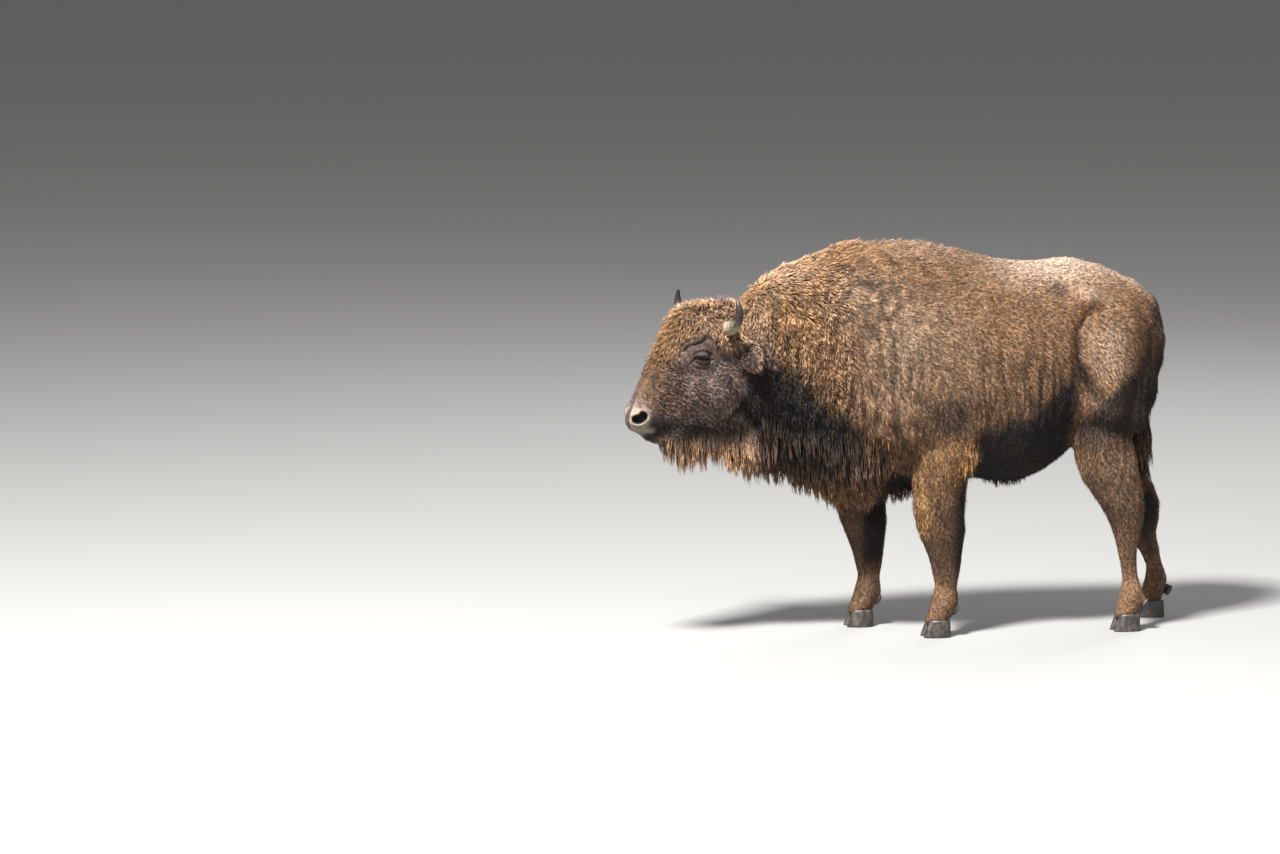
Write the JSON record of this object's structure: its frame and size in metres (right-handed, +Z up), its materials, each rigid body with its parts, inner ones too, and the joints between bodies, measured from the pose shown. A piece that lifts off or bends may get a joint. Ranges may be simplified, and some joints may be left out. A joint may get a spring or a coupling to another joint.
{
  "type": "wisent",
  "caption": "Standing wisent cow, life size: humped woolly body, bearded head turned slightly left, short upcurved horns, tufted tail and cloven hooves.",
  "frame": {"origin": "on the floor, under the middle of the whole animal", "axes": "+Z up; the animal faces -Y, so +X is its left side and +Y points to its tail"},
  "size_m": [0.6242, 2.2666, 1.5429],
  "materials": {
    "coat": "dense woolly golden-brown coat",
    "dark_coat": "dark brown coat, long and shaggy below the throat",
    "horn_sheath": "grey ridged horn with a black tip",
    "hoof_horn": "dark horn",
    "eye": "wet, very dark brown"
  },
  "bodies": {
    "root": {"beard": "dark_coat", "ear_left": "dark_coat", "ear_right": "dark_coat", "eye_left": "eye", "eye_right": "eye", "foreleg_left": "dark_coat", "foreleg_right": "dark_coat", "head": "dark_coat", "hindleg_left": "dark_coat", "hindleg_right": "dark_coat", "hoof_foreleg_left_inner": "hoof_horn", "hoof_foreleg_left_outer": "hoof_horn", "hoof_foreleg_right_inner": "hoof_horn", "hoof_foreleg_right_outer": "hoof_horn", "hoof_hindleg_left_inner": "hoof_horn", "hoof_hindleg_left_outer": "hoof_horn", "hoof_hindleg_right_inner": "hoof_horn", "hoof_hindleg_right_outer": "hoof_horn", "horn_left": "horn_sheath", "horn_right": "horn_sheath", "neck": "coat", "tail": "dark_coat", "throat_mane": "dark_coat", "trunk": "coat"}
  },
  "joints": []
}
